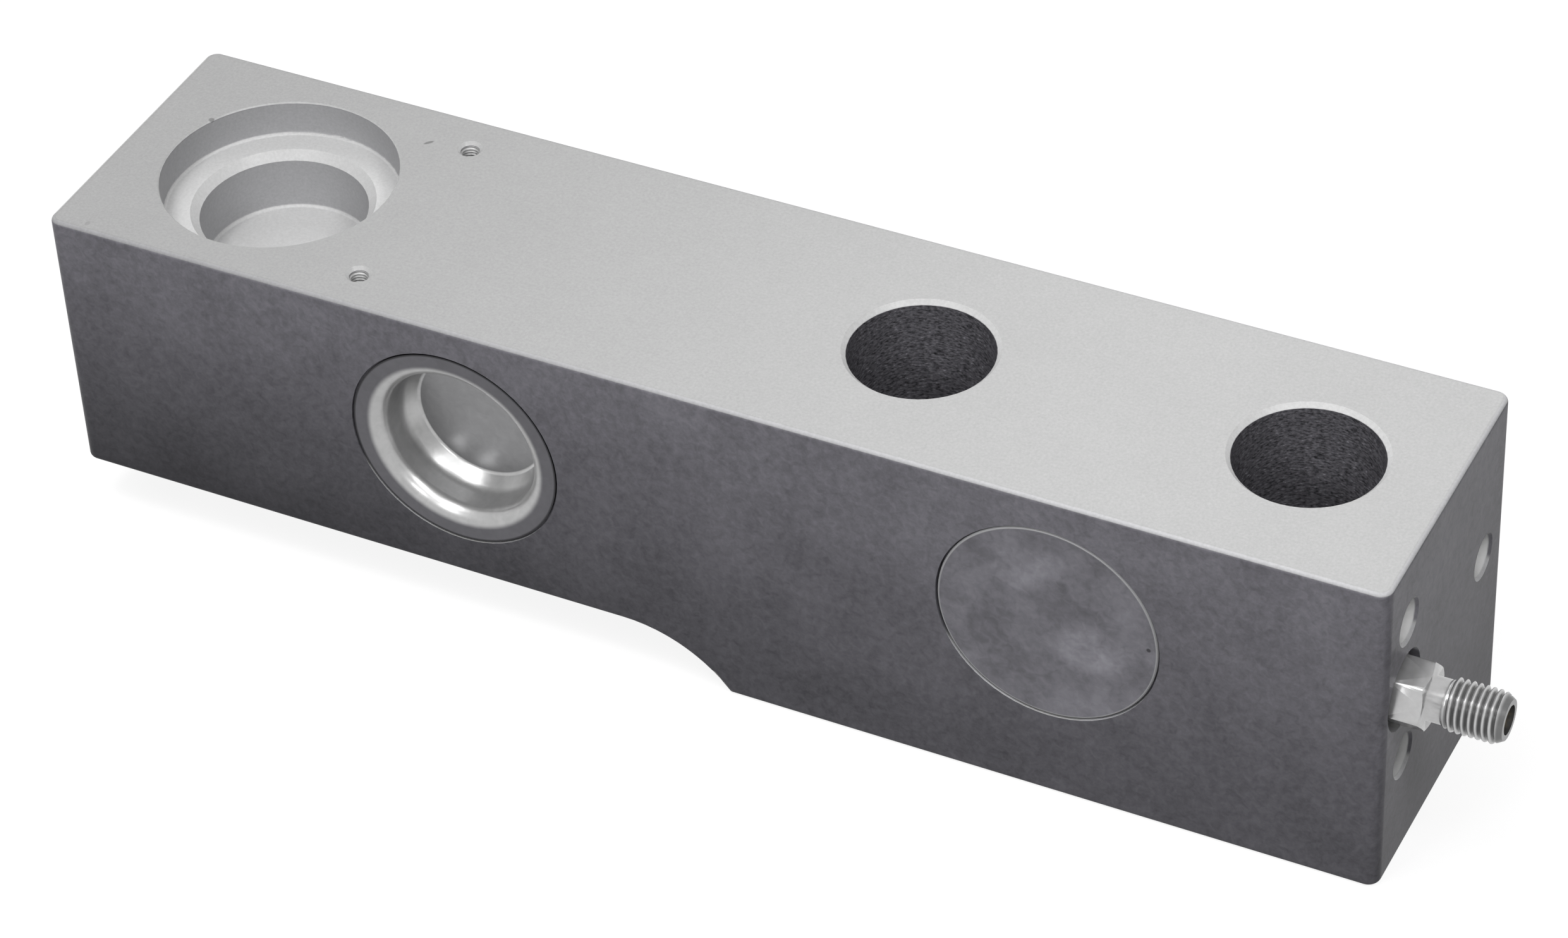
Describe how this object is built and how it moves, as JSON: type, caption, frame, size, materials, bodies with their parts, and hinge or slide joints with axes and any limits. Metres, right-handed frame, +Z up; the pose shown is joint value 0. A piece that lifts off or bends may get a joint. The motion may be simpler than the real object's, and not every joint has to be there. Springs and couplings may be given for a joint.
{
  "type": "shear beam load cell",
  "caption": "Single-ended shear beam load cell: steel bar with stepped blind load hole, mounting bores, dished sealing cups, flush side cover and hexagonal end connector.",
  "frame": {"origin": "on the mounting base, midway between the two mounting bores, on the centre plane", "axes": "+X along the bar towards the connector end, -Y towards the side with the round cover, +Z up, towards the loaded face"},
  "size_m": [0.2315, 0.0482, 0.0553],
  "materials": {
    "satin_steel": "fine blasted and plated",
    "polished_steel": "polished sheet",
    "cover_steel": "satin",
    "connector_nickel": "bright nickel",
    "gauge_film": "clear amber film",
    "gauge_foil": "rolled foil",
    "terminal_laminate": "glass laminate",
    "solder_pads": "plated copper",
    "bare_wire": "tinned copper",
    "wire_insulation": "extruded",
    "board_laminate": "solder mask",
    "standoff_brass": "turned",
    "screw_steel": "zinc plated",
    "resistor_ceramic": "moulded",
    "resistor_winding": "varnished wire",
    "seal_glass": "fused",
    "pin_gold": "gold plated",
    "seal_rubber": "moulded"
  },
  "bodies": {
    "root": {"beam_body": "satin_steel", "front_sealing_cup": "polished_steel", "back_sealing_cup": "polished_steel", "front_gauge_film": "gauge_film", "back_gauge_film": "gauge_film", "front_gauge_grid": "gauge_foil", "back_gauge_grid": "gauge_foil", "front_terminal_strip": "terminal_laminate", "back_terminal_strip": "terminal_laminate", "front_terminal_pads": "solder_pads", "back_terminal_pads": "solder_pads", "front_jumper_wires": "bare_wire", "back_jumper_wires": "bare_wire", "front_lead_wires": "wire_insulation", "back_lead_wires": "wire_insulation", "cavity_cover": "cover_steel", "balance_board": "board_laminate", "board_standoffs": "standoff_brass", "board_screws": "screw_steel", "board_solder_pads": "solder_pads", "trimming_resistors": "resistor_ceramic", "temperature_resistor": "resistor_winding", "connector_lead_wires": "wire_insulation", "connector_shell": "connector_nickel", "connector_glass_seal": "seal_glass", "connector_pins": "pin_gold", "connector_seal_ring": "seal_rubber"}
  },
  "joints": []
}
